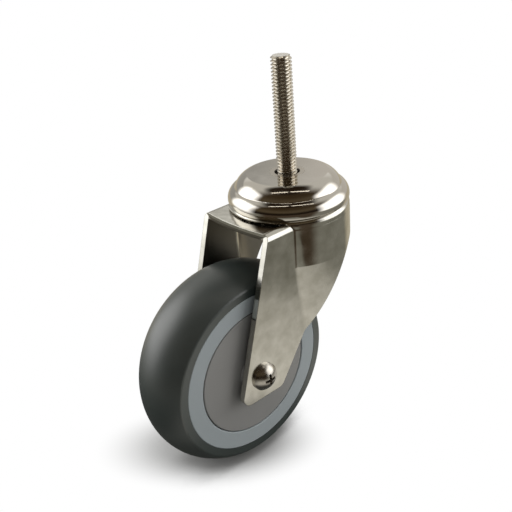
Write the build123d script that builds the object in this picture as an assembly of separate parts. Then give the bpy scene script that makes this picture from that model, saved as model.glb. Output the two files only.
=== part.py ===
"""Swivel castor with a threaded stem: 100 mm wheel in a deep-drawn stainless fork.

Frame: millimetres, origin where the swivel axis meets the top face of the cap,
+Z up along the stem, +X from the swivel axis towards the axle, and +Y towards
the head of the axle bolt.
"""
from build123d import *
import os
from math import radians, sqrt, tan

# ---------------------------------------------------------------- driving sizes
# Clearances
race_clearance = 0.05          # ball to race, all ball rows
seat_fit = 0.02                # pieces pressed, riveted or clamped together
slip_fit = 0.05                # pieces assembled over one another by hand

# Stem bolt, 3/8-16, pushed up through the hollow kingpin
stem_diameter = 9.525
stem_length = 53.8             # thread, from the top of the cap to its end
thread_pitch = 25.4 / 16       # 16 turns to the inch
stem_shank_diameter = 8.6      # plain shank, below the thread
stem_chamfer = 0.9
hex_across_flats = 14.29
hex_head_height = 6.0
hex_head_chamfer = 0.6
stem_washer_radius = 10.5
stem_washer_thickness = 1.6

# Kingpin, a turned hollow rivet
kingpin_bore_radius = 6.0
kingpin_neck_radius = 8.2      # the riveted necks above and below the body
kingpin_body_radius = 10.4
kingpin_flare_radius = 10.8
kingpin_flare_thickness = 1.6

# Top cap, pressed from sheet and polished: the upper race of the large ball row
cap_sheet = 2.4
cap_flat_radius = 19.2
cap_roll_radius = 10.0         # sweep of the first roll, from the edge of the flat
cap_roll_reach = 5.35          # the first roll, outwards
cap_roll_drop = 4.35           # the first roll, downwards
cap_crease_radius = 0.6        # groove between the first roll and the race roll

# Upper ball row, between cap and fork
upper_ball_radius = 3.5
upper_ball_circle = 22.9
upper_ball_depth = 11.2        # ball centres below the top of the cap
upper_ball_count = 18

# Crown of the fork
crown_depth = 13.0             # raised race platform, below the top of the cap
cap_rim_gap = 0.4              # cap rim to race platform
tongue_step = 1.4              # flat front of the crown, below the race platform
fork_sheet = 3.0
bend_inner_radius = 0.4
platform_inset = 0.05          # side of the race platform, inside the skin of the round wall
platform_edge_radius = 2.8     # rolled edge of the race platform
platform_foot_radius = 0.8     # where the platform meets the flat front
crown_hole_clearance = 0.9     # fork to kingpin body
crown_front = 33.8             # front corners of the crown, ahead of the swivel axis
crown_bow = 2.1                # swell of the front edge between its corners

# Legs of the fork
leg_inner_gap = 37.5           # between the inside faces of the legs
leg_below_axle = 11.65
leg_toe = 14.5                 # bottom of the front edge, ahead of the axle
leg_heel = 11.17               # bottom of the rear edge, behind the axle
leg_toe_radius = 4.5
leg_heel_radius = 4.0
rear_edge_angle = 54.4         # rear edge of the legs, above the horizontal
rear_skirt_depth = 16.05       # drawn wall behind the swivel, below the flat front
rear_arch_radius = 15.0        # where the rear edge of a leg turns into the skirt
wall_straight_depth = 21.6     # round wall before it starts to taper, below the flat front
wall_taper = 3.8               # degrees
wall_blend_radius = 3.0        # hollow between a flat leg and the round wall

# Lower ball row, between fork and lower race cup
lower_ball_radius = 2.5
lower_ball_circle = 14.4
lower_ball_count = 16
lower_race_bite = 1.0          # groove in the underside of the crown
lower_cup_bite = 1.1           # groove in the lower race cup
lower_cup_sheet = 2.0
lower_cup_rim_height = 1.6     # rim above the flat of the cup

# Wheel
swivel_lead = 42.85            # axle ahead of the swivel axis
axle_depth = 83.25             # axle below the top of the cap
wheel_radius = 50.0
wheel_width = 31.6
tread_section_radius = 22.9    # sweep of the tread across the wheel
tread_corner_radius = 1.2
tyre_side_height = 10.2        # tread top to the visible ring of the core
tyre_bed_depth = 7.2           # tread top to the band that the tyre is moulded on
tyre_bed_width = 22.0
core_edge_radius = 0.5
core_web_thickness = 4.0
core_rib_thickness = 2.4
core_rib_count = 8
core_rib_recess = 1.2          # ribs below the faces of the hub
core_hub_wall = 4.0            # plastic round each bearing seat
core_shoulder_height = 2.0     # step between the bearing seats

# Thread guards
guard_radius = 30.75
guard_running_gap = 0.5        # guard rim to wheel core
guard_thickness = 1.8
guard_inset = 0.1              # below the side of the core
guard_lip_height = 1.2
guard_lip_width = 1.6
guard_boss_radius = 9.0
guard_inner_boss_radius = 5.9
guard_edge_chamfer = 0.3

# Wheel bearings
bearing_bore_radius = 4.0
bearing_outer_radius = 11.0
bearing_width = 7.0
bearing_inset = 3.3            # outer face of the bearing, below the side of the core
bearing_ball_radius = 1.98
bearing_ball_circle = 7.5
bearing_ball_count = 7
inner_ring_land_radius = 6.05
outer_ring_land_radius = 9.2
shield_thickness = 0.4
shield_inset = 0.1             # shield below the face of the bearing
shield_seat_depth = 0.5        # edge of a shield let into the outer ring
shield_gap = 0.3               # shield to inner ring
cage_thickness = 1.2
cage_width = 5.2
cage_pocket_clearance = 0.12

# Axle
axle_bolt_radius = 3.175
axle_head_radius = 6.7
axle_head_height = 4.9
axle_head_edge = 1.1           # straight edge under the dome
axle_end_chamfer = 0.5
axle_sleeve_wall = 0.73
driver_slot_width = 1.5
driver_slot_length = 6.2
driver_slot_depth = 3.0        # from the top of the dome
driver_slot_taper = 10         # degrees
axle_hole_clearance = 0.15
axle_washer_radius = 7.0
axle_washer_thickness = 1.2
axle_nut_across_flats = 11.1
axle_nut_height = 5.6
axle_nut_chamfer = 0.5
collar_radius = 4.9            # collar on the nut, round the nylon insert
collar_height = 2.3
collar_wall = 0.7
insert_inset = 0.3             # nylon insert below the rim of the collar
bolt_proud = 1.4               # thread past the nut

# ---------------------------------------------------------------- derived places
run_out = 10.0                 # how far cutting bodies reach past what they cut

leg_inner_y = leg_inner_gap / 2
leg_outer_y = leg_inner_y + fork_sheet
bend_outer_radius = bend_inner_radius + fork_sheet

upper_ball_z = -upper_ball_depth
upper_race_radius = upper_ball_radius + race_clearance
cap_race_skin = upper_race_radius + cap_sheet
cap_rim_z = cap_rim_gap - crown_depth

crown_z = -crown_depth
tongue_z = crown_z - tongue_step
wall_radius = upper_ball_circle + cap_race_skin
crown_hole_radius = kingpin_body_radius + crown_hole_clearance

lower_race_radius = lower_ball_radius + race_clearance
lower_ball_z = crown_z - fork_sheet + lower_race_bite - lower_race_radius
lower_cup_z = lower_ball_z - lower_race_radius + lower_cup_bite
kingpin_foot_z = lower_cup_z - lower_cup_sheet
stem_washer_z = kingpin_foot_z - kingpin_flare_thickness
hex_head_z = stem_washer_z - stem_washer_thickness

axle_z = -axle_depth
leg_foot_z = axle_z - leg_below_axle
wheel_side_y = wheel_width / 2
core_rim_radius = wheel_radius - tyre_side_height
tyre_bed_radius = wheel_radius - tyre_bed_depth
core_recess_radius = guard_radius + guard_running_gap
core_hub_radius = bearing_outer_radius + core_hub_wall
bearing_face_y = wheel_side_y - bearing_inset
bearing_back_y = bearing_face_y - bearing_width
bearing_mid_y = (bearing_face_y + bearing_back_y) / 2
bearing_groove_radius = bearing_ball_radius + race_clearance
shield_seat_radius = outer_ring_land_radius + shield_seat_depth
shield_outer_face = bearing_width / 2 - shield_inset
shield_inner_face = shield_outer_face - shield_thickness
guard_face_y = wheel_side_y - guard_inset
guard_back_y = guard_face_y - guard_thickness
sleeve_radius = bearing_bore_radius - seat_fit
axle_hole_radius = axle_bolt_radius + axle_hole_clearance
nut_seat_y = -leg_outer_y - axle_washer_thickness
nut_top_y = nut_seat_y - axle_nut_height
collar_top_y = nut_top_y - collar_height


# ---------------------------------------------------------------- helpers
def about_swivel(section):
    """Revolve a section drawn as (radius, height) about the swivel axis."""
    return revolve(Plane.XZ * section, Axis.Z)


def about_axle(section):
    """Revolve a section drawn as (radius, place along Y) about the axle."""
    return Pos(swivel_lead, 0, axle_z) * revolve(section, Axis.Y)


def box_section(inner, outer, low, high):
    """Rectangular section between two radii and two heights."""
    return Pos(inner, low) * Rectangle(outer - inner, high - low, align=(Align.MIN, Align.MIN))


def round_section(circle_radius, height, radius):
    """Round section: its revolve is the groove that a ball row runs in."""
    return Pos(circle_radius, height) * Circle(radius)


def corner_near(sketch, radius, height):
    """The corner of a section nearest to a point, for its fillet."""
    return sketch.vertices().sort_by_distance((radius, height))[0]


def on_nut_side(solid):
    """The same piece on the other side of the wheel."""
    return mirror(solid, Plane.XZ)


def hexagon(across_flats):
    """Hexagon drawn by its spanner size."""
    return RegularPolygon(across_flats / 2, 6, major_radius=False)


def hex_blank(across_flats, height, corner_chamfer):
    """Hexagonal blank standing on z = 0, its upper corners turned off."""
    turned = Cylinder(
        across_flats / sqrt(3), height, align=(Align.CENTER, Align.CENTER, Align.MIN)
    )
    turned = chamfer(turned.edges().sort_by(Axis.Z)[-1], corner_chamfer)
    return extrude(hexagon(across_flats), height) & turned


def ball_row(place, count, circle_radius, radius):
    """Balls spread evenly round the local Z axis of a place, as separate solids."""
    return Compound([
        place * Rot(0, 0, step * 360 / count) * Pos(circle_radius, 0, 0) * Sphere(radius)
        for step in range(count)
    ])


# ---------------------------------------------------------------- swivel head
def thread_groove(pitch):
    """Section of the groove between two turns of a unified thread, its mouth at x = 0."""
    sharp_height = pitch * sqrt(3) / 2
    depth = sharp_height * 5 / 8
    mouth = pitch * 7 / 8
    root = pitch / 4
    return Polygon((0, -mouth / 2), (0, mouth / 2), (-depth, root / 2), (-depth, -root / 2), align=None)


def make_stem_bolt():
    """Hexagon-headed bolt: its shank is the threaded stem above the cap.

    The thread has its true section and pitch, drawn as a ring for each turn.
    """
    shank = box_section(0, stem_shank_diameter / 2, hex_head_z, 0)
    thread = box_section(0, stem_diameter / 2, 0, stem_length)
    thread = chamfer(corner_near(thread, stem_diameter / 2, stem_length), stem_chamfer)
    turns = int((stem_length - stem_chamfer) / thread_pitch)
    groove = thread_groove(thread_pitch)
    thread -= [Pos(stem_diameter / 2, (turn + 0.5) * thread_pitch) * groove for turn in range(turns)]
    head = hex_blank(hex_across_flats, hex_head_height, hex_head_chamfer)
    return about_swivel(shank + thread) + Pos(0, 0, hex_head_z) * Rot(180, 0, 0) * head


def make_stem_washer():
    """Flat washer between the bolt head and the riveted foot of the kingpin."""
    bore = stem_shank_diameter / 2 + slip_fit
    return about_swivel(box_section(bore, stem_washer_radius, hex_head_z, stem_washer_z))


def make_kingpin():
    """Hollow rivet: its body spaces cap and lower cup, its necks are riveted over them."""
    body = box_section(kingpin_bore_radius, kingpin_body_radius, lower_cup_z, -cap_sheet)
    neck = box_section(kingpin_bore_radius, kingpin_neck_radius, stem_washer_z, 0)
    flare = box_section(kingpin_bore_radius, kingpin_flare_radius, stem_washer_z, kingpin_foot_z)
    return about_swivel(body + neck + flare)


def cap_roll_centre():
    """Centre of the first roll, from its two ends and its radius."""
    chord = sqrt(cap_roll_reach ** 2 + cap_roll_drop ** 2)
    rise = sqrt(cap_roll_radius ** 2 - (chord / 2) ** 2)
    across = Vector(cap_flat_radius + cap_roll_reach / 2, -cap_roll_drop / 2)
    return across - Vector(cap_roll_drop, cap_roll_reach) * (rise / chord)


def cap_form(inset):
    """Section of the space under the cap, its skin moved inwards by the inset."""
    centre = cap_roll_centre()
    middle = box_section(0, centre.X, -crown_depth, 0)
    first_roll = round_section(centre.X, centre.Y, cap_roll_radius - inset)
    race_roll = round_section(upper_ball_circle, upper_ball_z, cap_race_skin - inset)
    form = middle + first_roll + race_roll
    form = form & box_section(0, wall_radius, cap_rim_z, -inset)
    crease = corner_near(form, cap_flat_radius + cap_roll_reach, -cap_roll_drop - inset)
    return fillet(crease, cap_crease_radius + inset)


def make_top_cap():
    """Polished cap: flat top, a first roll, and the race roll that caps the ball row."""
    section = cap_form(0) - cap_form(cap_sheet)
    bore = box_section(0, kingpin_neck_radius + seat_fit, -crown_depth, 0)
    return about_swivel(section - bore)


def make_lower_race_cup():
    """Pressed cup under the crown: the lower race of the small ball row."""
    rim_z = lower_cup_z + lower_cup_rim_height
    skin = round_section(lower_ball_circle, lower_ball_z, lower_race_radius + lower_cup_sheet)
    flat = box_section(kingpin_neck_radius + seat_fit, lower_ball_circle, kingpin_foot_z, lower_cup_z)
    outer_half = box_section(
        lower_ball_circle, lower_ball_circle + run_out, lower_ball_z - run_out, rim_z
    )
    groove_foot = box_section(
        lower_ball_circle - lower_race_radius, lower_ball_circle, lower_ball_z - run_out, lower_cup_z
    )
    section = flat + (skin & (outer_half + groove_foot))
    return about_swivel(section - round_section(lower_ball_circle, lower_ball_z, lower_race_radius))


# ---------------------------------------------------------------- fork
def fork_plan(wall, side):
    """Outline of the fork from above: two straight sides ahead of a round wall."""
    reach = crown_front + axle_depth
    outline = Rectangle(reach, 2 * side, align=(Align.MIN, Align.CENTER)) + Circle(wall)
    hollows = [corner for corner in outline.vertices() if corner.X < wall]
    return fillet(hollows, wall_blend_radius + leg_outer_y - side)


def fork_form(inset):
    """The fork as a solid block, its skin moved inwards by the inset."""
    top_z = tongue_z - inset
    taper_z = tongue_z - wall_straight_depth
    foot_z = leg_foot_z - run_out
    narrowing = (taper_z - foot_z) * tan(radians(wall_taper))
    upper = Pos(0, 0, taper_z) * fork_plan(wall_radius - inset, leg_outer_y - inset)
    lower = Pos(0, 0, foot_z) * fork_plan(wall_radius - narrowing - inset, leg_outer_y - inset)
    block = extrude(upper, top_z - taper_z) + loft([lower, upper], ruled=True)
    bend = block.faces().sort_by(Axis.Z)[-1].edges()
    return fillet(bend, bend_outer_radius - inset)


def race_platform():
    """Raised round platform of the crown and the straight part of the round wall."""
    radius = wall_radius - platform_inset
    section = box_section(0, radius, tongue_z - wall_straight_depth, crown_z)
    return about_swivel(fillet(corner_near(section, radius, crown_z), platform_edge_radius))


def platform_pocket():
    """Hollow under the platform; it dips under the race so that the sheet keeps its wall."""
    under = crown_z - fork_sheet
    pocket = box_section(0, upper_ball_circle, tongue_z - fork_sheet - run_out, under)
    dip = round_section(upper_ball_circle, upper_ball_z, upper_race_radius + fork_sheet)
    return about_swivel(pocket - dip)


def leg_profile():
    """Fork from the side: raked front edge, feet under the axle, slanted rear, skirt."""
    skirt_z = tongue_z - rear_skirt_depth
    toe_x = swivel_lead + leg_toe
    heel_x = swivel_lead - leg_heel
    arch_x = heel_x - (skirt_z - leg_foot_z) / tan(radians(rear_edge_angle))
    back_x = -wall_radius - run_out
    outline = make_face(Polyline(
        (back_x, run_out),
        (crown_front, run_out),
        (crown_front, tongue_z),
        (toe_x, leg_foot_z),
        (heel_x, leg_foot_z),
        (arch_x, skirt_z),
        (back_x, skirt_z),
        close=True,
    ))
    outline = fillet(corner_near(outline, toe_x, leg_foot_z), leg_toe_radius)
    outline = fillet(corner_near(outline, heel_x, leg_foot_z), leg_heel_radius)
    return fillet(corner_near(outline, arch_x, skirt_z), rear_arch_radius)


def crown_bow_plate(block):
    """Swollen front edge of the crown, trimmed by the bends at both sides."""
    swell = make_face([
        ThreePointArc(
            (crown_front, -leg_outer_y), (crown_front + crown_bow, 0), (crown_front, leg_outer_y)
        ),
        Line((crown_front, leg_outer_y), (crown_front, -leg_outer_y)),
    ])
    return block & extrude(Pos(0, 0, tongue_z - fork_sheet) * swell, fork_sheet)


def make_fork():
    """Deep-drawn fork, one sheet: crown with both races, two flat legs and a round wall."""
    block = fork_form(0)
    skin = block + race_platform()
    foot = [
        edge for edge in skin.edges().filter_by(GeomType.CIRCLE)
        if (edge.arc_center - Vector(0, 0, tongue_z)).length < seat_fit
    ]
    skin = fillet(foot, platform_foot_radius)
    hollow = fork_form(fork_sheet) + platform_pocket()
    side = extrude(Plane.XZ * leg_profile(), leg_outer_y + run_out + wall_radius, both=True)
    fork = (skin - hollow) & side
    fork = fork + crown_bow_plate(block)
    fork = fork - about_swivel(round_section(upper_ball_circle, upper_ball_z, upper_race_radius))
    fork = fork - about_swivel(round_section(lower_ball_circle, lower_ball_z, lower_race_radius))
    fork = fork - about_swivel(box_section(0, crown_hole_radius, tongue_z - run_out, 0))
    return fork - about_axle(box_section(0, axle_hole_radius, -wall_radius, wall_radius))


# ---------------------------------------------------------------- wheel
def make_wheel_core():
    """Moulded core: rim with a ring at each side, web, ribs, and a hub with bearing seats."""
    seat = bearing_outer_radius + seat_fit
    shoulder = seat - core_shoulder_height
    rim = box_section(core_recess_radius, core_rim_radius, -wheel_side_y, wheel_side_y)
    corners = [
        corner_near(rim, radius, side)
        for radius in (core_recess_radius, core_rim_radius)
        for side in (-wheel_side_y, wheel_side_y)
    ]
    rim = fillet(corners, core_edge_radius)
    bed = box_section(
        core_recess_radius, tyre_bed_radius, -tyre_bed_width / 2, tyre_bed_width / 2
    )
    web = box_section(
        core_hub_radius, core_recess_radius, -core_web_thickness / 2, core_web_thickness / 2
    )
    hub = box_section(seat, core_hub_radius, -bearing_face_y, bearing_face_y)
    step = box_section(shoulder, seat, -bearing_back_y, bearing_back_y)
    core = about_axle(rim + bed + web + hub + step)
    rib_half = bearing_face_y - core_rib_recess
    rib_section = box_section(
        core_hub_radius - seat_fit, core_recess_radius + core_edge_radius, -rib_half, rib_half
    )
    rib = extrude(rib_section, core_rib_thickness / 2, both=True)
    for step_number in range(core_rib_count):
        turn = Rot(0, step_number * 360 / core_rib_count, 0)
        core = core + Pos(swivel_lead, 0, axle_z) * turn * rib
    return core


def make_tyre():
    """Rubber tread moulded round the core, flush with the sides of its ring."""
    tread = round_section(wheel_radius - tread_section_radius, 0, tread_section_radius)
    sides = box_section(core_rim_radius, wheel_radius, -wheel_side_y, wheel_side_y)
    bed = box_section(
        core_rim_radius, tyre_bed_radius, -tyre_bed_width / 2, tyre_bed_width / 2
    )
    section = (tread & sides) - bed
    corners = [
        corner_near(section, (wheel_radius + core_rim_radius) / 2, side)
        for side in (-wheel_side_y, wheel_side_y)
    ]
    return about_axle(fillet(corners, tread_corner_radius))


def make_thread_guard():
    """Stationary disc that closes the side of the wheel and spaces it from the leg."""
    bore = sleeve_radius + slip_fit
    plate = box_section(bore, guard_radius, guard_back_y, guard_face_y)
    rim = corner_near(plate, guard_radius, guard_face_y)
    plate = chamfer(rim, guard_edge_chamfer)
    lip = box_section(
        guard_radius - guard_lip_width, guard_radius, guard_back_y - guard_lip_height, guard_back_y
    )
    outer_boss = box_section(bore, guard_boss_radius, guard_back_y, leg_inner_y)
    inner_boss = box_section(bore, guard_inner_boss_radius, bearing_face_y, guard_face_y)
    return about_axle(plate + lip + outer_boss + inner_boss)


# ---------------------------------------------------------------- wheel bearings
def make_inner_ring():
    """Inner ring on the axle sleeve, with its ball groove."""
    section = box_section(
        bearing_bore_radius, inner_ring_land_radius, bearing_back_y, bearing_face_y
    )
    return about_axle(
        section - round_section(bearing_ball_circle, bearing_mid_y, bearing_groove_radius)
    )


def make_outer_ring():
    """Outer ring in the hub, with its ball groove and a seat for a shield at each face."""
    section = box_section(
        outer_ring_land_radius, bearing_outer_radius, bearing_back_y, bearing_face_y
    )
    section = section - round_section(bearing_ball_circle, bearing_mid_y, bearing_groove_radius)
    for face in (-1, 1):
        seat_ends = sorted((face * shield_inner_face, face * bearing_width))
        section = section - Pos(0, bearing_mid_y) * box_section(
            outer_ring_land_radius, shield_seat_radius, *seat_ends
        )
    return about_axle(section)


def make_bearing_shields():
    """The two thin shields of one bearing, held in the outer ring."""
    shields = []
    for face in (-1, 1):
        ends = sorted((face * shield_inner_face, face * shield_outer_face))
        section = box_section(
            inner_ring_land_radius + shield_gap, shield_seat_radius - seat_fit, *ends
        )
        shields.append(about_axle(Pos(0, bearing_mid_y) * section))
    return Compound(shields)


def bearing_place():
    """Middle of the bearing, its local Z axis along the axle."""
    return Pos(swivel_lead, bearing_mid_y, axle_z) * Rot(90, 0, 0)


def make_bearing_balls():
    """Ball set of one bearing."""
    return ball_row(
        bearing_place(), bearing_ball_count, bearing_ball_circle, bearing_ball_radius
    )


def make_ball_cage():
    """Cage ring of one bearing, with a drilled pocket for each ball."""
    section = Pos(bearing_ball_circle, bearing_mid_y) * Rectangle(cage_thickness, cage_width)
    cage = about_axle(section)
    hole = Cylinder(bearing_ball_radius + cage_pocket_clearance, bearing_outer_radius)
    for step in range(bearing_ball_count):
        turn = Rot(0, 0, step * 360 / bearing_ball_count)
        cage = cage - bearing_place() * turn * Pos(bearing_ball_circle, 0, 0) * Rot(0, 90, 0) * hole
    return cage


def make_bearing_spacer():
    """Tube between the inner rings."""
    return about_axle(box_section(
        sleeve_radius + slip_fit, inner_ring_land_radius - slip_fit,
        -bearing_back_y, bearing_back_y,
    ))


# ---------------------------------------------------------------- axle
def make_axle_sleeve():
    """Tube clamped between the legs; guards, inner rings and spacer sit on it."""
    bore = sleeve_radius - axle_sleeve_wall
    return about_axle(box_section(bore, sleeve_radius, -leg_inner_y, leg_inner_y))


def make_axle_bolt():
    """Domed screw through both legs, with a cross recess."""
    end_y = collar_top_y - bolt_proud
    shank = box_section(0, axle_bolt_radius, end_y, leg_outer_y)
    shank = chamfer(corner_near(shank, axle_bolt_radius, end_y), axle_end_chamfer)
    dome_rise = axle_head_height - axle_head_edge
    dome_radius = (axle_head_radius ** 2 + dome_rise ** 2) / (2 * dome_rise)
    dome = round_section(0, leg_outer_y + axle_head_height - dome_radius, dome_radius)
    head = box_section(0, axle_head_radius, leg_outer_y, leg_outer_y + axle_head_height)
    bolt = about_axle(shank + (head & dome))
    slot = Rectangle(driver_slot_length, driver_slot_width)
    recess = extrude(slot + Rot(0, 0, 90) * slot, driver_slot_depth, taper=driver_slot_taper)
    top = Pos(swivel_lead, leg_outer_y + axle_head_height, axle_z)
    return bolt - top * Rot(90, 0, 0) * recess


def make_axle_washer():
    """Flat washer under the nut."""
    bore = axle_hole_radius
    return about_axle(box_section(bore, axle_washer_radius, nut_seat_y, -leg_outer_y))


def make_axle_nut():
    """Locking nut: hexagon with a thin collar that holds the nylon insert."""
    blank = hex_blank(axle_nut_across_flats, axle_nut_height, axle_nut_chamfer)
    nut = Pos(swivel_lead, nut_seat_y, axle_z) * Rot(90, 0, 0) * blank
    collar = box_section(collar_radius - collar_wall, collar_radius, collar_top_y, nut_top_y)
    bore = box_section(0, axle_bolt_radius + seat_fit, collar_top_y, nut_seat_y)
    return nut + about_axle(collar) - about_axle(bore)


def make_axle_nut_insert():
    """Nylon ring inside the collar of the nut."""
    return about_axle(box_section(
        axle_bolt_radius + seat_fit, collar_radius - collar_wall - seat_fit,
        collar_top_y + insert_inset, nut_top_y,
    ))


# ---------------------------------------------------------------- pieces
pieces = {
    "stem_bolt": make_stem_bolt(),
    "stem_washer": make_stem_washer(),
    "kingpin": make_kingpin(),
    "top_cap": make_top_cap(),
    "lower_race_cup": make_lower_race_cup(),
    "upper_race_balls": ball_row(
        Pos(0, 0, upper_ball_z), upper_ball_count, upper_ball_circle, upper_ball_radius
    ),
    "lower_race_balls": ball_row(
        Pos(0, 0, lower_ball_z), lower_ball_count, lower_ball_circle, lower_ball_radius
    ),
    "fork": make_fork(),
    "wheel_core": make_wheel_core(),
    "tyre": make_tyre(),
    "bearing_spacer": make_bearing_spacer(),
    "axle_sleeve": make_axle_sleeve(),
    "axle_bolt": make_axle_bolt(),
    "axle_washer": make_axle_washer(),
    "axle_nut": make_axle_nut(),
    "axle_nut_insert": make_axle_nut_insert(),
}

# One of each on either side of the wheel
paired = {
    "thread_guard": make_thread_guard(),
    "inner_ring": make_inner_ring(),
    "outer_ring": make_outer_ring(),
    "bearing_shields": make_bearing_shields(),
    "bearing_balls": make_bearing_balls(),
    "ball_cage": make_ball_cage(),
}
for name, piece in paired.items():
    pieces[name + "_head_side"] = piece
    pieces[name + "_nut_side"] = on_nut_side(piece)

os.makedirs("parts", exist_ok=True)
for name, piece in pieces.items():
    export_step(piece, "parts/" + name + ".step")
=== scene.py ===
from math import atan2, cos, pi, radians, sin

import bmesh
import bpy
from mathutils import Matrix, Vector


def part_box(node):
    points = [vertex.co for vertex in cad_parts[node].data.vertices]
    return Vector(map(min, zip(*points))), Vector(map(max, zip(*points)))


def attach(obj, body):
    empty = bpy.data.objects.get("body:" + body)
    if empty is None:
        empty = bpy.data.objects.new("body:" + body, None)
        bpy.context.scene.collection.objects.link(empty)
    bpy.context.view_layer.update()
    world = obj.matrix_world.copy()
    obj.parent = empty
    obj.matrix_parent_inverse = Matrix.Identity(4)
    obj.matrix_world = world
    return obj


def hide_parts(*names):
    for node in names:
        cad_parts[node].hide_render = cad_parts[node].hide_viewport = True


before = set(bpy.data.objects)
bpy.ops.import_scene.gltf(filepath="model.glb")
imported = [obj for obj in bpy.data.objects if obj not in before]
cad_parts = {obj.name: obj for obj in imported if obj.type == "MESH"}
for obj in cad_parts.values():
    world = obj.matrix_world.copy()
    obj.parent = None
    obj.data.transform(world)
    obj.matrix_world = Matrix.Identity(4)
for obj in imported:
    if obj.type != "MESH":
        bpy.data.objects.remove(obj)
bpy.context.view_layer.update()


# --- View: a 52 mm lens on full-frame film. It looks down on the castor from ahead, on the side of
# the screw head, and the camera leans over by a few degrees.
camera_data = bpy.data.cameras.new("camera")
camera_data.sensor_width = 36.0
camera_data.lens = 52.212
camera = bpy.data.objects.new("camera", camera_data)
bpy.context.scene.collection.objects.link(camera)
camera_place = Vector((0.22631, 0.23732, 0.12187))
camera_aim = Vector((0.02402, 0.00084, -0.03484))
camera_roll = radians(-4.592)
camera_turn = (camera_aim - camera_place).to_track_quat("-Z", "Y").to_matrix()
camera_turn = camera_turn @ Matrix.Rotation(camera_roll, 3, "Z")
camera.matrix_world = Matrix.Translation(camera_place) @ camera_turn.to_4x4()
bpy.context.scene.camera = camera


# --- Studio: a white sweep, a soft panel at each side and two tube lamps overhead, in a darker room.
# Polished steel shows what stands round it, so the room is dark ahead and grey behind;
# soft surfaces are lit by an even pale room.
def linear(colour):
    """Linear RGBA of an sRGB hex colour."""
    parts = [int(colour[at:at + 2], 16) / 255 for at in (1, 3, 5)]
    return [part / 12.92 if part < 0.04045 else ((part + 0.055) / 1.055) ** 2.4 for part in parts] + [1]


def add(tree, kind, inputs=None, **settings):
    """A node with its settings; each input takes a value or another node's socket.

    Sockets go by name, or by number where a name is missing or shared: a colour mix has its
    factor at 0 and its two colours at 6 and 7.
    """
    made = tree.nodes.new(kind)
    for name, value in settings.items():
        setattr(made, name, value)
    for socket, value in (inputs or {}).items():
        if isinstance(value, bpy.types.NodeSocket):
            tree.links.new(value, made.inputs[socket])
        else:
            made.inputs[socket].default_value = value
    return made


white = linear("#FFFFFF")
view_heading = atan2(camera_place.y, camera_place.x)
ahead = Vector((cos(view_heading), sin(view_heading), 0))
aside = Vector((-sin(view_heading), cos(view_heading), 0))
up = Vector((0, 0, 1))

# Edges in the room: one tone starts to turn into the next at the first number and is the next at
# the second. They are shares of a direction that point ahead, aside or, from wall_top_edge on, up.
front_edge = (-0.25, 0.35)
right_edge = (-0.04, 0.05)
lit_wall_edge = (-0.70, -0.85)
wall_top_edge = (0.35, 0.42)
front_low_edge = (0.75, 0.50)
horizon_edge = (0.15, 0.40)
ceiling_edge = (0.84, 0.94)

world = bpy.data.worlds.new("studio")
bpy.context.scene.world = world
world.use_nodes = True
tree = world.node_tree
tree.nodes.clear()
direction = add(tree, "ShaderNodeTexCoord").outputs["Generated"]
height = add(tree, "ShaderNodeSeparateXYZ", {0: direction}).outputs["Z"]
frontal = add(tree, "ShaderNodeVectorMath", {
    0: direction, 1: ahead}, operation="DOT_PRODUCT").outputs["Value"]
sidelong = add(tree, "ShaderNodeVectorMath", {
    0: direction, 1: aside}, operation="DOT_PRODUCT").outputs["Value"]

# The back wall is lit from above, most in its middle.
to_right = add(tree, "ShaderNodeMapRange", {
    "Value": sidelong, "From Min": right_edge[0], "From Max": right_edge[1]}).outputs[0]
wall_low = add(tree, "ShaderNodeMix", {
    0: to_right, 6: linear("#AEACA6"), 7: linear("#D3CEC6")}, data_type="RGBA").outputs[2]
to_lit_wall = add(tree, "ShaderNodeMapRange", {
    "Value": frontal, "From Min": lit_wall_edge[0], "From Max": lit_wall_edge[1]}).outputs[0]
wall_high = add(tree, "ShaderNodeMix", {
    0: to_lit_wall, 6: linear("#DBD8D0"), 7: linear("#F6F4EE")}, data_type="RGBA").outputs[2]
to_wall_top = add(tree, "ShaderNodeMapRange", {
    "Value": height, "From Min": wall_top_edge[0], "From Max": wall_top_edge[1],
}, interpolation_type="SMOOTHSTEP").outputs[0]
wall = add(tree, "ShaderNodeMix", {0: to_wall_top, 6: wall_low, 7: wall_high}, data_type="RGBA").outputs[2]

# The front and the ceiling are dark brown, and the front is darkest at the horizon.
to_front_low = add(tree, "ShaderNodeMapRange", {
    "Value": height, "From Min": front_low_edge[0], "From Max": front_low_edge[1]}).outputs[0]
front = add(tree, "ShaderNodeMix", {
    0: to_front_low, 6: linear("#3E3120"), 7: linear("#564A38")}, data_type="RGBA").outputs[2]
off_horizon = add(tree, "ShaderNodeMapRange", {
    "Value": height, "From Min": horizon_edge[0], "From Max": horizon_edge[1],
}, interpolation_type="SMOOTHSTEP").outputs[0]
front = add(tree, "ShaderNodeMix", {
    0: off_horizon, 6: linear("#231A11"), 7: front}, data_type="RGBA").outputs[2]
to_front = add(tree, "ShaderNodeMapRange", {
    "Value": frontal, "From Min": front_edge[0], "From Max": front_edge[1],
}, interpolation_type="SMOOTHSTEP").outputs[0]
room = add(tree, "ShaderNodeMix", {0: to_front, 6: wall, 7: front}, data_type="RGBA").outputs[2]
to_ceiling = add(tree, "ShaderNodeMapRange", {
    "Value": height, "From Min": ceiling_edge[0], "From Max": ceiling_edge[1],
}, interpolation_type="SMOOTHSTEP").outputs[0]
room = add(tree, "ShaderNodeMix", {
    0: to_ceiling, 6: room, 7: linear("#291F14")}, data_type="RGBA").outputs[2]

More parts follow.
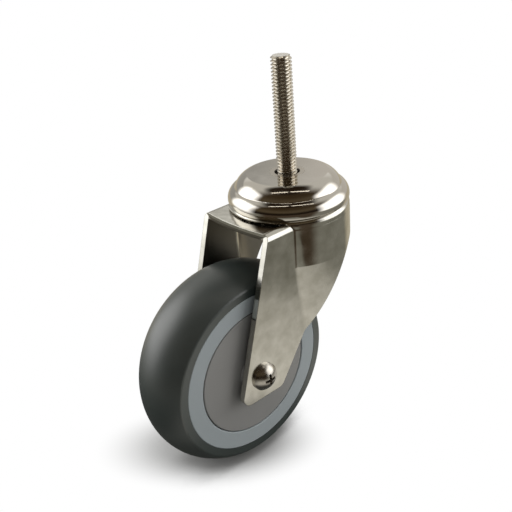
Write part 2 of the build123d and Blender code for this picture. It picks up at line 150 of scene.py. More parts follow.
ray = add(tree, "ShaderNodeLightPath").outputs
seen = add(tree, "ShaderNodeMix", {
    0: ray["Is Glossy Ray"], 6: linear("#B4B4B2"), 7: room}, data_type="RGBA").outputs[2]
seen = add(tree, "ShaderNodeMix", {
    0: ray["Is Camera Ray"], 6: seen, 7: white}, data_type="RGBA").outputs[2]
background = add(tree, "ShaderNodeBackground", {"Color": seen, "Strength": 1.0})
add(tree, "ShaderNodeOutputWorld", {"Surface": background.outputs[0]})


def lamp_panel(name, centre, facing, along, size, radiance, colour, soft_edge):
    """A flat lamp, its first size lying along a direction.

    Radiance is what a mirror shows of its middle; it fades over a share of its size at each edge.
    """
    data = bpy.data.lights.new(name, "AREA")
    data.shape = "RECTANGLE"
    data.size, data.size_y = size
    data.energy = radiance * pi * size[0] * size[1]
    data.color = linear(colour)[:3]
    data.use_nodes = True
    tree = data.node_tree
    tree.nodes.clear()
    place = add(tree, "ShaderNodeNewGeometry").outputs["Parametric"]
    off_middle = add(tree, "ShaderNodeVectorMath", {
        0: place, 1: (0.5, 0.5, 0)}, operation="SUBTRACT").outputs[0]
    off_middle = add(tree, "ShaderNodeVectorMath", {0: off_middle}, operation="ABSOLUTE").outputs[0]
    off_middle = add(tree, "ShaderNodeSeparateXYZ", {0: off_middle}).outputs
    fades = [
        add(tree, "ShaderNodeMapRange", {
            "Value": off_middle[axis], "From Min": 0.5, "From Max": 0.5 - soft_edge,
        }, interpolation_type="SMOOTHSTEP").outputs[0]
        for axis in "XY"
    ]
    strength = add(tree, "ShaderNodeMath", {0: fades[0], 1: fades[1]}, operation="MULTIPLY").outputs[0]
    glow = add(tree, "ShaderNodeEmission", {"Strength": strength}).outputs[0]
    add(tree, "ShaderNodeOutputLight", {"Surface": glow})
    lamp = bpy.data.objects.new(name, data)
    turn = Matrix((along, along.cross(facing), -facing)).transposed()
    lamp.matrix_world = Matrix.Translation(centre) @ turn.to_4x4()
    lamp.visible_camera = False
    bpy.context.scene.collection.objects.link(lamp)


# A panel of softened white cloth stands at each side.
panel_far = 0.45
panel_radiance = 2.0
panel_soft_edge = 0.3
for name, side, forward, rise, size in (
    ("panel_left", -1, -0.08, 0.165, (0.64, 0.71)),
    ("panel_right", 1, 0.02, 0.085, (0.74, 0.63)),
):
    centre = aside * side * panel_far + ahead * forward + up * rise
    lamp_panel(name, centre, aside * -side, ahead, size, panel_radiance, "#FFFFFF", panel_soft_edge)

# Two tubes hang end to end overhead, with a gap between them.
tube_height = 0.6
tube_forward = 0.12
tube_width = 0.032
tube_radiance = 2.7
tube_soft_edge = 0.02
for name, start, end in (("tube_left", -0.282, -0.006), ("tube_right", 0.03, 0.366)):
    centre = ahead * tube_forward + aside * (start + end) / 2 + up * tube_height
    size = (end - start, tube_width)
    lamp_panel(name, centre, -up, aside, size, tube_radiance, "#FFF6E6", tube_soft_edge)


def new_material(name):
    """A material with nothing in its node tree yet."""
    made = bpy.data.materials.new(name)
    made.use_nodes = True
    made.node_tree.nodes.clear()
    return made, made.node_tree


# The sweep is white, with the castor's shadow painted on it: an oval of painted shadow on the left of
# where the wheel stands at rest, which clears where nothing is near, and a closer painted shadow,
# from ambient occlusion, that follows wherever the wheel goes.
floor_half = 3.0
shadow_left = 0.015
shadow_ahead = 0.002
shadow_size = (0.028, 0.050)
shadow_edge = (0.45, 1.25)
near_reach = 0.05
near_edge = (0.35, 0.65)
far_reach = 0.07
far_edge = (0.90, 0.97)
lift_edge = (0.45, 0.95)
full_lift = 0.38

floor_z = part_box("tyre")[0].z
wheel_centre = (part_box("tyre")[0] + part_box("tyre")[1]) / 2
corners = [
    (x * floor_half, y * floor_half, floor_z) for x, y in ((-1, -1), (1, -1), (1, 1), (-1, 1))
]
mesh = bpy.data.meshes.new("floor")
mesh.from_pydata(corners, [], [(0, 1, 2, 3)])
floor = bpy.data.objects.new("floor", mesh)
bpy.context.scene.collection.objects.link(floor)

floor_paint, tree = new_material("white sweep")
plain = add(tree, "ShaderNodeBsdfDiffuse", {"Color": linear("#A6A6A5")}).outputs[0]
openness = add(tree, "ShaderNodeAmbientOcclusion", {"Distance": near_reach}, samples=16).outputs["AO"]
lift = add(tree, "ShaderNodeMapRange", {
    "Value": openness, "From Min": lift_edge[0], "From Max": lift_edge[1],
    "To Min": 0.0, "To Max": full_lift}).outputs[0]
lift = add(tree, "ShaderNodeEmission", {"Color": white, "Strength": lift}).outputs[0]
shaded = add(tree, "ShaderNodeAddShader", {0: plain, 1: lift}).outputs[0]
place = add(tree, "ShaderNodeTexCoord").outputs["Object"]
shadow_middle = wheel_centre - aside * shadow_left + ahead * shadow_ahead
oval = add(tree, "ShaderNodeMapping", {
    "Vector": place, "Location": (shadow_middle.x, shadow_middle.y, floor_z),
    "Rotation": (0, 0, view_heading), "Scale": (*shadow_size, 1)}, vector_type="TEXTURE").outputs[0]
off_oval = add(tree, "ShaderNodeVectorMath", {0: oval}, operation="LENGTH").outputs["Value"]
off_oval = add(tree, "ShaderNodeMapRange", {
    "Value": off_oval, "From Min": shadow_edge[0], "From Max": shadow_edge[1],
}, interpolation_type="SMOOTHSTEP").outputs[0]
clear = add(tree, "ShaderNodeAmbientOcclusion", {"Distance": far_reach}, samples=16).outputs["AO"]
clear = add(tree, "ShaderNodeMapRange", {
    "Value": clear, "From Min": far_edge[0], "From Max": far_edge[1]}).outputs[0]
off_oval = add(tree, "ShaderNodeMath", {0: off_oval, 1: clear}, operation="MAXIMUM").outputs[0]
off_near = add(tree, "ShaderNodeMapRange", {
    "Value": openness, "From Min": near_edge[0], "From Max": near_edge[1],
}, interpolation_type="SMOOTHSTEP").outputs[0]
to_white = add(tree, "ShaderNodeMath", {0: off_oval, 1: off_near}, operation="MINIMUM").outputs[0]
bright = add(tree, "ShaderNodeEmission", {"Color": white, "Strength": 1.0}).outputs[0]
pale = add(tree, "ShaderNodeMixShader", {0: to_white, 1: shaded, 2: bright}).outputs[0]

# What the steel mirrors of it is a painted reflection that glows for glossy rays: a painted shadow
# of the wheel, a painted pool of light on its right, a grey table at the sides, tan behind, and dark
# ahead with a pale card on it. Edges are in metres from the wheel, apart from the two headings,
# which are shares of the way ahead.
table_front_edge = (0.45, 0.75)
table_back_edge = (-0.50, -0.62)
card_side_edge = (0.10, 0.115)
card_far_edge = (0.28, 0.32)
wheel_shadow_edge = (0.05, 0.075)
lit_side_edge = (-0.06, 0.0)
pool_fade = (0.08, 0.19)
pool_edge = (0.165, 0.20)

outward = add(tree, "ShaderNodeVectorMath", {
    0: place, 1: (wheel_centre.x, wheel_centre.y, floor_z)}, operation="SUBTRACT").outputs[0]
distance = add(tree, "ShaderNodeVectorMath", {0: outward}, operation="LENGTH").outputs["Value"]
heading = add(tree, "ShaderNodeVectorMath", {0: outward}, operation="NORMALIZE").outputs[0]
frontal = add(tree, "ShaderNodeVectorMath", {
    0: heading, 1: ahead}, operation="DOT_PRODUCT").outputs["Value"]
sidelong = add(tree, "ShaderNodeVectorMath", {
    0: outward, 1: aside}, operation="DOT_PRODUCT").outputs["Value"]

to_front = add(tree, "ShaderNodeMapRange", {
    "Value": frontal, "From Min": table_front_edge[0], "From Max": table_front_edge[1],
}, interpolation_type="SMOOTHSTEP").outputs[0]
off_card = add(tree, "ShaderNodeMapRange", {
    "Value": sidelong, "From Min": card_side_edge[0], "From Max": card_side_edge[1]}).outputs[0]
past_card = add(tree, "ShaderNodeMapRange", {
    "Value": distance, "From Min": card_far_edge[0], "From Max": card_far_edge[1]}).outputs[0]
off_card = add(tree, "ShaderNodeMath", {0: off_card, 1: past_card}, operation="MAXIMUM").outputs[0]
to_dark = add(tree, "ShaderNodeMath", {0: to_front, 1: off_card}, operation="MULTIPLY").outputs[0]
table = add(tree, "ShaderNodeMix", {
    0: to_dark, 6: linear("#8B897F"), 7: linear("#4D4134")}, data_type="RGBA").outputs[2]
to_behind = add(tree, "ShaderNodeMapRange", {
    "Value": frontal, "From Min": table_back_edge[0], "From Max": table_back_edge[1]}).outputs[0]
table = add(tree, "ShaderNodeMix", {
    0: to_behind, 6: table, 7: linear("#C4BBA6")}, data_type="RGBA").outputs[2]

off_wheel = add(tree, "ShaderNodeMapRange", {
    "Value": distance, "From Min": wheel_shadow_edge[0], "From Max": wheel_shadow_edge[1]}).outputs[0]
lit_side = add(tree, "ShaderNodeMapRange", {
    "Value": sidelong, "From Min": lit_side_edge[0], "From Max": lit_side_edge[1]}).outputs[0]
off_wheel = add(tree, "ShaderNodeMath", {0: off_wheel, 1: lit_side}, operation="MULTIPLY").outputs[0]
across_pool = add(tree, "ShaderNodeMapRange", {
    "Value": distance, "From Min": pool_fade[0], "From Max": pool_fade[1]}).outputs[0]
pool = add(tree, "ShaderNodeMix", {
    0: across_pool, 6: linear("#EAE6DC"), 7: linear("#B8B5AB")}, data_type="RGBA").outputs[2]
pool = add(tree, "ShaderNodeMix", {
    0: off_wheel, 6: linear("#484845"), 7: pool}, data_type="RGBA").outputs[2]
off_pool = add(tree, "ShaderNodeMapRange", {
    "Value": distance, "From Min": pool_edge[0], "From Max": pool_edge[1]}).outputs[0]
table = add(tree, "ShaderNodeMix", {0: off_pool, 6: pool, 7: table}, data_type="RGBA").outputs[2]
painted_reflection = add(tree, "ShaderNodeEmission", {"Color": table, "Strength": 1.0}).outputs[0]

# Glossy rays see the glowing painted reflection, and camera rays the white sweep with its painted shadow.
ray = add(tree, "ShaderNodeLightPath").outputs
surface = add(tree, "ShaderNodeMixShader", {0: ray["Is Glossy Ray"], 1: plain, 2: painted_reflection}).outputs[0]
surface = add(tree, "ShaderNodeMixShader", {0: ray["Is Camera Ray"], 1: surface, 2: pale}).outputs[0]
add(tree, "ShaderNodeOutputMaterial", {"Surface": surface})
mesh.materials.append(floor_paint)


# --- Stem bolt: 3/8 inch hexagon-headed bolt, 16 threads to the inch, turned and thread-rolled
# from stainless bar. It is pushed up through the hollow kingpin; its thread is the stem.
thread_pitch = 25.4e-3 / 16
thread_depth = thread_pitch * 0.61
thread_rounding = 0.2e-3
thread_radius = 9.525e-3 / 2
thread_start = -4.0e-3
thread_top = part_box("stem_bolt")[1].z
thread_sides = 64
tip_chamfer = 0.9e-3
smooth_angle = radians(28)

# Rolled stainless steel: the dies leave it bright, with fine marks that run round the stem.
# They are 0.1 mm apart, drawn 0.4 mm apart so that they show.
rolled_steel, tree = new_material("rolled stainless steel")
place = add(tree, "ShaderNodeTexCoord").outputs["Object"]
squeezed = add(tree, "ShaderNodeMapping", {"Vector": place, "Scale": (120, 120, 2500)}).outputs[0]
marks = add(tree, "ShaderNodeTexNoise", {"Vector": squeezed, "Scale": 1.0, "Detail": 2.0}).outputs["Fac"]
dullness = add(tree, "ShaderNodeMapRange", {"Value": marks, "To Min": 0.10, "To Max": 0.20}).outputs[0]
relief = add(tree, "ShaderNodeBump", {"Strength": 1.0, "Distance": 2e-6, "Height": marks}).outputs[0]

# The sawn end is faced flat and left matt, so it shows paler than the thread.
up_facing = add(tree, "ShaderNodeTexCoord").outputs["Normal"]
up_facing = add(tree, "ShaderNodeSeparateXYZ", {0: up_facing}).outputs["Z"]
at_end = add(tree, "ShaderNodeMapRange", {
    "Value": up_facing, "From Min": 0.96, "From Max": 0.98}).outputs[0]
dullness = add(tree, "ShaderNodeMix", {0: at_end, 2: dullness, 3: 0.55}).outputs[0]
tint = add(tree, "ShaderNodeMix", {
    0: at_end, 6: linear("#CFC9BE"), 7: linear("#F4F2EE")}, data_type="RGBA").outputs[2]
metal = add(tree, "ShaderNodeBsdfPrincipled", {
    "Base Color": tint, "Metallic": 1.0, "Roughness": dullness, "Normal": relief})
add(tree, "ShaderNodeOutputMaterial", {"Surface": metal.outputs[0]})

# A ridge of the thread's section is wound round a core; the core's end is turned to a chamfer.
# The section is in shares of the depth and the pitch, and its foot is sunk into the core.
ridge_foot = (-0.1, 0.47)
ridge_crest = (1, 0.06)
ridge_corner_points = 4
weld_reach = 2e-6

tree = bpy.data.node_groups.new("rolled thread", "GeometryNodeTree")
tree.interface.new_socket(name="Geometry", in_out="INPUT", socket_type="NodeSocketGeometry")
for name in ("Radius", "Pitch", "Depth", "Rounding", "Start", "Length", "Tip radius"):
    tree.interface.new_socket(name=name, in_out="INPUT", socket_type="NodeSocketFloat")
tree.interface.new_socket(name="Sides", in_out="INPUT", socket_type="NodeSocketInt")
tree.interface.new_socket(name="Steel", in_out="INPUT", socket_type="NodeSocketMaterial")
tree.interface.new_socket(name="Geometry", in_out="OUTPUT", socket_type="NodeSocketGeometry")
given = add(tree, "NodeGroupInput").outputs
root = add(tree, "ShaderNodeMath", {0: given["Radius"], 1: given["Depth"]}, operation="SUBTRACT").outputs[0]
turns = add(tree, "ShaderNodeMath", {0: given["Length"], 1: given["Pitch"]}, operation="DIVIDE").outputs[0]
helix = add(tree, "GeometryNodeCurveSpiral", {
    "Resolution": given["Sides"], "Rotations": turns, "Start Radius": root, "End Radius": root,
    "Height": given["Length"], "Reverse": True,
}).outputs[0]
helix = add(tree, "GeometryNodeSetCurveNormal", {"Curve": helix}, mode="Z_UP").outputs[0]
section_size = add(tree, "ShaderNodeCombineXYZ", {0: given["Depth"], 1: given["Pitch"]}).outputs[0]
section = add(tree, "GeometryNodeCurvePrimitiveQuadrilateral", {
    "Point 1": (ridge_foot[0], -ridge_foot[1], 0), "Point 2": (ridge_crest[0], -ridge_crest[1], 0),
    "Point 3": (ridge_crest[0], ridge_crest[1], 0), "Point 4": (ridge_foot[0], ridge_foot[1], 0),
}, mode="POINTS").outputs[0]
section = add(tree, "GeometryNodeTransform", {"Geometry": section, "Scale": section_size}).outputs[0]
section = add(tree, "GeometryNodeFilletCurve", {
    "Curve": section, "Radius": given["Rounding"], "Count": ridge_corner_points, "Limit Radius": True,
}, mode="POLY").outputs[0]
ridge = add(tree, "GeometryNodeCurveToMesh", {
    "Curve": helix, "Profile Curve": section, "Fill Caps": True}).outputs[0]
ridge = add(tree, "GeometryNodeMergeByDistance", {"Geometry": ridge, "Distance": weld_reach}).outputs[0]
core_top = add(tree, "ShaderNodeCombineXYZ", {2: given["Length"]}).outputs[0]
core_line = add(tree, "GeometryNodeCurvePrimitiveLine", {"End": core_top}).outputs[0]
core_round = add(tree, "GeometryNodeCurvePrimitiveCircle", {
    "Resolution": given["Sides"], "Radius": root}).outputs[0]
core = add(tree, "GeometryNodeCurveToMesh", {
    "Curve": core_line, "Profile Curve": core_round, "Fill Caps": True}).outputs[0]
joined = add(tree, "GeometryNodeJoinGeometry")
for part in (ridge, core):
    tree.links.new(part, joined.inputs[0])

# Whatever stands past the end is brought down to it, and in to the chamfer's cone.
top = add(tree, "ShaderNodeCombineXYZ", {0: 1.0, 1: 1.0, 2: given["Length"]}).outputs[0]
place = add(tree, "GeometryNodeInputPosition").outputs[0]
place = add(tree, "ShaderNodeVectorMath", {0: place, 1: top}, operation="MINIMUM").outputs[0]
rise = add(tree, "ShaderNodeSeparateXYZ", {0: place}).outputs["Z"]
flat = add(tree, "ShaderNodeVectorMath", {0: place, 1: (1, 1, 0)}, operation="MULTIPLY").outputs[0]
reach = add(tree, "ShaderNodeVectorMath", {0: flat}, operation="LENGTH").outputs["Value"]
below_top = add(tree, "ShaderNodeMath", {0: given["Length"], 1: rise}, operation="SUBTRACT").outputs[0]
chamfer = add(tree, "ShaderNodeMath", {0: given["Tip radius"], 1: below_top}, operation="ADD").outputs[0]
share = add(tree, "ShaderNodeMath", {0: chamfer, 1: reach}, operation="DIVIDE").outputs[0]
share = add(tree, "ShaderNodeMath", {0: share, 1: 1.0}, operation="MINIMUM").outputs[0]
squeeze = add(tree, "ShaderNodeCombineXYZ", {0: share, 1: share, 2: 1.0}).outputs[0]
turned = add(tree, "ShaderNodeVectorMath", {0: place, 1: squeeze}, operation="MULTIPLY").outputs[0]
turned = add(tree, "GeometryNodeSetPosition", {
    "Geometry": joined.outputs[0], "Position": turned}).outputs[0]
foot = add(tree, "ShaderNodeCombineXYZ", {2: given["Start"]}).outputs[0]
raised = add(tree, "GeometryNodeTransform", {"Geometry": turned, "Translation": foot}).outputs[0]
real = add(tree, "GeometryNodeRealizeInstances", {0: raised}).outputs[0]
coated = add(tree, "GeometryNodeSetMaterial", {"Geometry": real, "Material": given["Steel"]}).outputs[0]
add(tree, "NodeGroupOutput", {0: coated})


def baked(name, tree, values):
    """The mesh that a node group makes from named values, as a plain object."""
    piece = bpy.data.objects.new(name, bpy.data.meshes.new(name))
    bpy.context.scene.collection.objects.link(piece)
    maker = piece.modifiers.new("maker", "NODES")
    maker.node_group = tree
    for item in tree.interface.items_tree:
        if item.in_out == "INPUT" and item.name in values:
            maker[item.identifier] = values[item.name]
    made = bpy.data.meshes.new_from_object(piece.evaluated_get(bpy.context.evaluated_depsgraph_get()))
    piece.modifiers.remove(maker)
    piece.data = made
    return piece


stem = baked("stem", tree, {
    "Radius": thread_radius, "Pitch": thread_pitch, "Depth": thread_depth, "Rounding": thread_rounding,
    "Start": thread_start, "Length": thread_top - thread_start, "Tip radius": thread_radius - tip_chamfer,
    "Sides": thread_sides, "Steel": rolled_steel,
})

# The head and shank below the thread are the solid's own, cut off where the thread starts.
lower = bmesh.new()
lower.from_mesh(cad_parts["stem_bolt"].data)
bmesh.ops.remove_doubles(lower, verts=lower.verts, dist=1e-6)
cut = bmesh.ops.bisect_plane(
    lower, geom=lower.verts[:] + lower.edges[:] + lower.faces[:], dist=1e-7,
    plane_co=(0, 0, thread_start), plane_no=up, clear_outer=True,
)
cut_edges = [part for part in cut["geom_cut"] if isinstance(part, bmesh.types.BMEdge)]
bmesh.ops.contextual_create(lower, geom=cut_edges)
lower.from_mesh(stem.data)
bmesh.ops.recalc_face_normals(lower, faces=lower.faces)
for face in lower.faces:
    face.smooth = True
    face.material_index = 0
lower.to_mesh(stem.data)
lower.free()
stem.data.materials.clear()
stem.data.materials.append(rolled_steel)
stem.data.set_sharp_from_angle(angle=smooth_angle)
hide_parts("stem_bolt")
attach(stem, "stem_head")


# --- Kingpin and stem washer: a hollow rivet turned from bar, riveted over the cap and the lower cup,
# and the washer under the bolt's head. Both are plain turned stainless steel.
def coat(material, *nodes):
    """Gives carried-over solids a material."""
    for node in nodes:
        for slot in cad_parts[node].material_slots:
            slot.material = material


def about_axis(tree, centre, across, along):
    """Coordinates that run out from an axis and along it, for marks that run round it."""
    place = add(tree, "ShaderNodeTexCoord").outputs["Object"]
    place = add(tree, "ShaderNodeVectorMath", {0: place, 1: centre}, operation="SUBTRACT").outputs[0]
    flat = add(tree, "ShaderNodeVectorMath", {0: place, 1: across}, operation="MULTIPLY").outputs[0]
    reach = add(tree, "ShaderNodeVectorMath", {0: flat}, operation="LENGTH").outputs["Value"]
    rise = add(tree, "ShaderNodeSeparateXYZ", {0: place}).outputs[along]
    return add(tree, "ShaderNodeCombineXYZ", {0: reach, 1: rise}).outputs[0]


def turned_stainless(name, *axis):
    """Turned stainless steel: a dull sheen from the rings that the tool leaves round the axis.

    The feed is 0.1 mm, drawn 0.5 mm so that it shows.
    """
    made, tree = new_material(name)
    rings = add(tree, "ShaderNodeTexNoise", {
        "Vector": about_axis(tree, *axis), "Scale": 2000.0, "Detail": 1.0}).outputs["Fac"]
    dullness = add(tree, "ShaderNodeMapRange", {
        "Value": rings, "To Min": 0.22, "To Max": 0.38}).outputs[0]
    relief = add(tree, "ShaderNodeBump", {
        "Strength": 1.0, "Distance": 5e-6, "Height": rings}).outputs[0]
    metal = add(tree, "ShaderNodeBsdfPrincipled", {
        "Base Color": linear("#B9B3A9"), "Metallic": 1.0, "Roughness": dullness, "Normal": relief})
    add(tree, "ShaderNodeOutputMaterial", {"Surface": metal.outputs[0]})
    return made


# An axis is a point on it, the two directions across it and the one along it.
swivel_axis = ((0, 0, 0), (1, 1, 0), "Z")
turned_steel = turned_stainless("turned stainless steel", *swivel_axis)
coat(turned_steel, "kingpin", "stem_washer")


# --- Top cap: drawn from stainless sheet and polished while it spins. It is riveted to the kingpin
# and holds the upper ball row from above.

# Polished stainless steel: a mirror, a little hazy where hands have been, with polishing rings
# round the axis. They are finer than a hair, drawn 0.7 mm apart so that they show.
polished_steel, tree = new_material("polished stainless steel")
place = add(tree, "ShaderNodeTexCoord").outputs["Object"]
rings = add(tree, "ShaderNodeTexNoise", {
    "Vector": about_axis(tree, *swivel_axis), "Scale": 1400.0, "Detail": 2.0}).outputs["Fac"]
haze = add(tree, "ShaderNodeTexNoise", {"Vector": place, "Scale": 110.0, "Detail": 3.0}).outputs["Fac"]
dullness = add(tree, "ShaderNodeMapRange", {
    "Value": haze, "From Min": 0.35, "From Max": 0.75, "To Min": 0.06, "To Max": 0.14}).outputs[0]
relief = add(tree, "ShaderNodeBump", {"Strength": 1.0, "Distance": 0.7e-6, "Height": rings}).outputs[0]
metal = add(tree, "ShaderNodeBsdfPrincipled", {
    "Base Color": linear("#CBC7C0"), "Metallic": 1.0, "Roughness": dullness, "Normal": relief})
add(tree, "ShaderNodeOutputMaterial", {"Surface": metal.outputs[0]})
coat(polished_steel, "top_cap")


# --- Ball rows: hardened stainless balls, one row between cap and crown and one under the crown.
# They are bought in and lie loose in grease, without a cage, between the pressed races.

# Ball steel: ground and lapped, so it mirrors sharply under a film of grease.
ball_steel, tree = new_material("lapped ball steel")
place = add(tree, "ShaderNodeTexCoord").outputs["Object"]
film = add(tree, "ShaderNodeTexNoise", {"Vector": place, "Scale": 900.0, "Detail": 2.0}).outputs["Fac"]
dullness = add(tree, "ShaderNodeMapRange", {"Value": film, "To Min": 0.06, "To Max": 0.3}).outputs[0]
metal = add(tree, "ShaderNodeBsdfPrincipled", {
    "Base Color": linear("#BDBBB8"), "Metallic": 1.0, "Roughness": dullness,
    "Coat Weight": 0.3, "Coat Roughness": 0.2, "Coat Tint": linear("#D9C79A")})
add(tree, "ShaderNodeOutputMaterial", {"Surface": metal.outputs[0]})
coat(ball_steel, "upper_race_balls", "lower_race_balls")


# --- Fork and lower race cup: the fork is drawn from one stainless sheet, with a dished crown for
# the ball rows, a round wall behind and two flat legs. The cup closes the lower row from below.

# Tumbled stainless sheet: satin, so it blurs what it mirrors. Drawing leaves it slightly wavy,
# which breaks reflections into clouds a centimetre across, and tumbling rounds its cut edges.
satin_steel, tree = new_material("tumbled stainless sheet")
place = add(tree, "ShaderNodeTexCoord").outputs["Object"]
edges = add(tree, "ShaderNodeBevel", {"Radius": 0.4e-3}, samples=6).outputs[0]
waves = add(tree, "ShaderNodeTexNoise", {"Vector": place, "Scale": 85.0, "Detail": 2.0}).outputs["Fac"]
wavy = add(tree, "ShaderNodeBump", {
    "Strength": 1.0, "Distance": 0.12e-3, "Height": waves, "Normal": edges}).outputs[0]
grain = add(tree, "ShaderNodeTexNoise", {"Vector": place, "Scale": 2200.0, "Detail": 2.0}).outputs["Fac"]
relief = add(tree, "ShaderNodeBump", {
    "Strength": 1.0, "Distance": 3e-6, "Height": grain, "Normal": wavy}).outputs[0]
clouds = add(tree, "ShaderNodeTexNoise", {"Vector": place, "Scale": 140.0, "Detail": 4.0}).outputs["Fac"]
dullness = add(tree, "ShaderNodeMapRange", {
    "Value": clouds, "From Min": 0.3, "From Max": 0.7, "To Min": 0.10, "To Max": 0.17}).outputs[0]
patches = add(tree, "ShaderNodeMapRange", {
    "Value": clouds, "From Min": 0.32, "From Max": 0.68}).outputs[0]
tint = add(tree, "ShaderNodeMix", {
    0: patches, 6: linear("#B5B3AA"), 7: linear("#CECCC5")}, data_type="RGBA").outputs[2]

# The inside of the fork gets painted shade, a darker tint, and a duller finish: between the legs
# ahead of the swivel axis and inside the round wall, in both places below the crown.
fork_sheet = 3.0e-3
painted_shade_margin = 0.1e-3
leg_inner_y = 37.5e-3 / 2
wall_inner_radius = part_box("fork")[1].y - fork_sheet
crown_under_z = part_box("fork")[1].z - fork_sheet
spot = add(tree, "ShaderNodeSeparateXYZ", {0: place}).outputs
off_middle = add(tree, "ShaderNodeMath", {0: spot["Y"]}, operation="ABSOLUTE").outputs[0]
between_legs = add(tree, "ShaderNodeMath", {
    0: off_middle, 1: leg_inner_y + painted_shade_margin}, operation="LESS_THAN").outputs[0]
in_front = add(tree, "ShaderNodeMath", {0: spot["X"], 1: 0.0}, operation="GREATER_THAN").outputs[0]
between_legs = add(tree, "ShaderNodeMath", {0: between_legs, 1: in_front}, operation="MULTIPLY").outputs[0]
flat = add(tree, "ShaderNodeVectorMath", {0: place, 1: (1, 1, 0)}, operation="MULTIPLY").outputs[0]
reach = add(tree, "ShaderNodeVectorMath", {0: flat}, operation="LENGTH").outputs["Value"]
in_wall = add(tree, "ShaderNodeMath", {
    0: reach, 1: wall_inner_radius + painted_shade_margin}, operation="LESS_THAN").outputs[0]
inside = add(tree, "ShaderNodeMath", {0: between_legs, 1: in_wall}, operation="MAXIMUM").outputs[0]
under_crown = add(tree, "ShaderNodeMath", {
    0: spot["Z"], 1: crown_under_z + painted_shade_margin}, operation="LESS_THAN").outputs[0]
inside = add(tree, "ShaderNodeMath", {0: inside, 1: under_crown}, operation="MULTIPLY").outputs[0]
# The darker tint of the inside is painted shade.
tint = add(tree, "ShaderNodeMix", {0: inside, 6: tint, 7: linear("#77736A")}, data_type="RGBA").outputs[2]
dullness = add(tree, "ShaderNodeMix", {0: inside, 2: dullness, 3: 0.32}).outputs[0]
metal = add(tree, "ShaderNodeBsdfPrincipled", {
    "Base Color": tint, "Metallic": 1.0, "Roughness": dullness, "Normal": relief})
add(tree, "ShaderNodeOutputMaterial", {"Surface": metal.outputs[0]})
coat(satin_steel, "fork", "lower_race_cup")


# --- Wheel core: injection-moulded in pale grey polypropylene, with a seat for each bearing.
# Its flat ring shows between the tyre and the thread guards.

# Moulded polypropylene: pale and waxy, with a fine spark texture about 0.3 mm across.
ring_plastic, tree = new_material("moulded polypropylene")
place = add(tree, "ShaderNodeTexCoord").outputs["Object"]
spark = add(tree, "ShaderNodeTexNoise", {"Vector": place, "Scale": 3000.0, "Detail": 2.0}).outputs["Fac"]
relief = add(tree, "ShaderNodeBump", {"Strength": 1.0, "Distance": 8e-6, "Height": spark}).outputs[0]
flow = add(tree, "ShaderNodeTexNoise", {"Vector": place, "Scale": 60.0, "Detail": 3.0}).outputs["Fac"]
tint = add(tree, "ShaderNodeMix", {
    0: flow, 6: linear("#9BA3A6"), 7: linear("#A6ADB0")}, data_type="RGBA").outputs[2]
plastic = add(tree, "ShaderNodeBsdfPrincipled", {
    "Base Color": tint, "Roughness": 0.5, "IOR": 1.49, "Normal": relief})
add(tree, "ShaderNodeOutputMaterial", {"Surface": plastic.outputs[0]})
coat(ring_plastic, "wheel_core")


# --- Tyre: thermoplastic rubber moulded over the core, with a round crown and flat sides.
# It grips a raised band round the core's rim, so it can't slip off sideways.

# Thermoplastic rubber: dark grey with a slight bloom in patches, the broad soft sheen of a matt
# moulding, and a fine grain.
rubber, tree = new_material("thermoplastic rubber")
place = add(tree, "ShaderNodeTexCoord").outputs["Object"]
bloom = add(tree, "ShaderNodeTexNoise", {"Vector": place, "Scale": 70.0, "Detail": 4.0}).outputs["Fac"]
tint = add(tree, "ShaderNodeMix", {
    0: bloom, 6: linear("#2F3735"), 7: linear("#3B4341")}, data_type="RGBA").outputs[2]
dullness = add(tree, "ShaderNodeMapRange", {"Value": bloom, "To Min": 0.36, "To Max": 0.46}).outputs[0]
grain = add(tree, "ShaderNodeTexNoise", {"Vector": place, "Scale": 2500.0, "Detail": 2.0}).outputs["Fac"]
relief = add(tree, "ShaderNodeBump", {"Strength": 1.0, "Distance": 12e-6, "Height": grain}).outputs[0]
soft = add(tree, "ShaderNodeBsdfPrincipled", {
    "Base Color": tint, "Roughness": dullness, "IOR": 1.6, "Specular IOR Level": 0.9, "Normal": relief})
add(tree, "ShaderNodeOutputMaterial", {"Surface": soft.outputs[0]})
coat(rubber, "tyre")


# --- Thread guards: thin discs moulded in grey plastic, one each side, that keep threads and dirt
# from the bearings. They turn with the legs, a hair clear of the wheel.

# Moulded grey plastic: warmer and darker than the core, with the same fine spark texture.
guard_plastic, tree = new_material("moulded grey plastic")
place = add(tree, "ShaderNodeTexCoord").outputs["Object"]
spark = add(tree, "ShaderNodeTexNoise", {"Vector": place, "Scale": 2600.0, "Detail": 2.0}).outputs["Fac"]
relief = add(tree, "ShaderNodeBump", {"Strength": 1.0, "Distance": 8e-6, "Height": spark}).outputs[0]
flow = add(tree, "ShaderNodeTexNoise", {"Vector": place, "Scale": 50.0, "Detail": 3.0}).outputs["Fac"]
tint = add(tree, "ShaderNodeMix", {
    0: flow, 6: linear("#878684"), 7: linear("#908F8D")}, data_type="RGBA").outputs[2]
plastic = add(tree, "ShaderNodeBsdfPrincipled", {
    "Base Color": tint, "Roughness": 0.45, "IOR": 1.5, "Normal": relief})
add(tree, "ShaderNodeOutputMaterial", {"Surface": plastic.outputs[0]})
coat(guard_plastic, "thread_guard_head_side", "thread_guard_nut_side")


# --- Wheel bearings: two shielded ball bearings pressed into the core, on a sleeve and a spacer.
# Rings and balls are ground bearing steel, shields are pressed from sheet, cages from brass.
axle_axis = (wheel_centre, (1, 0, 1), "Y")

# Ground bearing steel: brighter and finer than turned steel, with grinding marks round the axle.
ground_steel, tree = new_material("ground bearing steel")
marks = add(tree, "ShaderNodeTexNoise", {
    "Vector": about_axis(tree, *axle_axis), "Scale": 1500.0, "Detail": 2.0}).outputs["Fac"]
dullness = add(tree, "ShaderNodeMapRange", {"Value": marks, "To Min": 0.10, "To Max": 0.24}).outputs[0]
metal = add(tree, "ShaderNodeBsdfPrincipled", {
    "Base Color": linear("#C2C1BF"), "Metallic": 1.0, "Roughness": dullness})
add(tree, "ShaderNodeOutputMaterial", {"Surface": metal.outputs[0]})

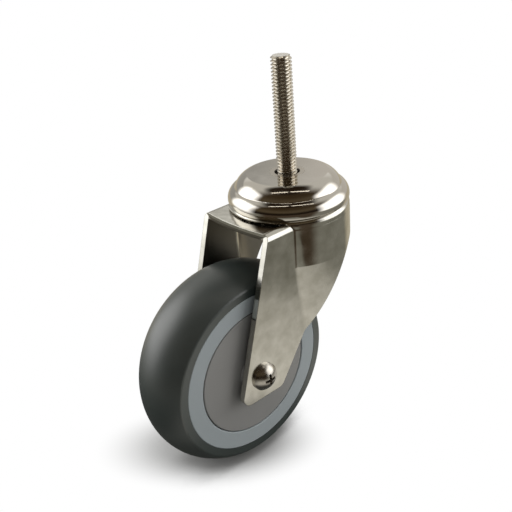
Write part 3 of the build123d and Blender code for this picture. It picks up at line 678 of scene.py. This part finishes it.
# Pressed brass: yellow, rubbed dull by the balls.
brass, tree = new_material("pressed brass")
place = add(tree, "ShaderNodeTexCoord").outputs["Object"]
rubbed = add(tree, "ShaderNodeTexNoise", {"Vector": place, "Scale": 1100.0, "Detail": 3.0}).outputs["Fac"]
dullness = add(tree, "ShaderNodeMapRange", {"Value": rubbed, "To Min": 0.25, "To Max": 0.45}).outputs[0]
tint = add(tree, "ShaderNodeMix", {
    0: rubbed, 6: linear("#A8853F"), 7: linear("#D2B26A")}, data_type="RGBA").outputs[2]
metal = add(tree, "ShaderNodeBsdfPrincipled", {"Base Color": tint, "Metallic": 1.0, "Roughness": dullness})
add(tree, "ShaderNodeOutputMaterial", {"Surface": metal.outputs[0]})

for side in ("head_side", "nut_side"):
    coat(ground_steel, "inner_ring_" + side, "outer_ring_" + side, "bearing_shields_" + side)
    coat(ball_steel, "bearing_balls_" + side)
    coat(brass, "ball_cage_" + side)
axle_turned_steel = turned_stainless("stainless steel turned about the axle", *axle_axis)
coat(axle_turned_steel, "bearing_spacer", "axle_sleeve")


# --- Axle bolt, washer and nut: a pan-headed screw with a cross recess on one side, a washer and
# a self-locking nut with its nylon ring on the other. They clamp the legs on the sleeve.

# Cold-headed stainless steel: tumbled bright after the press, so it is smooth but not a mirror.
headed_steel, tree = new_material("cold-headed stainless steel")
place = add(tree, "ShaderNodeTexCoord").outputs["Object"]
scuffs = add(tree, "ShaderNodeTexNoise", {"Vector": place, "Scale": 700.0, "Detail": 3.0}).outputs["Fac"]
dullness = add(tree, "ShaderNodeMapRange", {
    "Value": scuffs, "From Min": 0.3, "From Max": 0.7, "To Min": 0.18, "To Max": 0.30}).outputs[0]
relief = add(tree, "ShaderNodeBump", {"Strength": 1.0, "Distance": 6e-6, "Height": scuffs}).outputs[0]
metal = add(tree, "ShaderNodeBsdfPrincipled", {
    "Base Color": linear("#B3AFA8"), "Metallic": 1.0, "Roughness": dullness, "Normal": relief})
add(tree, "ShaderNodeOutputMaterial", {"Surface": metal.outputs[0]})
coat(headed_steel, "axle_bolt")
coat(axle_turned_steel, "axle_washer", "axle_nut")

# Nylon: milky, since light goes a little way into it, with the marks of its punching.
nylon, tree = new_material("white nylon")
place = add(tree, "ShaderNodeTexCoord").outputs["Object"]
marks = add(tree, "ShaderNodeTexNoise", {"Vector": place, "Scale": 1300.0, "Detail": 2.0}).outputs["Fac"]
relief = add(tree, "ShaderNodeBump", {"Strength": 1.0, "Distance": 10e-6, "Height": marks}).outputs[0]
plastic = add(tree, "ShaderNodeBsdfPrincipled", {
    "Base Color": linear("#D8D6CE"), "Roughness": 0.4, "IOR": 1.53, "Normal": relief,
    "Subsurface Weight": 0.3, "Subsurface Radius": (1, 0.9, 0.8), "Subsurface Scale": 0.5e-3})
add(tree, "ShaderNodeOutputMaterial", {"Surface": plastic.outputs[0]})
coat(nylon, "axle_nut_insert")


# --- Finish: the picture keeps its colours as they are.
bpy.context.scene.view_settings.view_transform = "Standard"
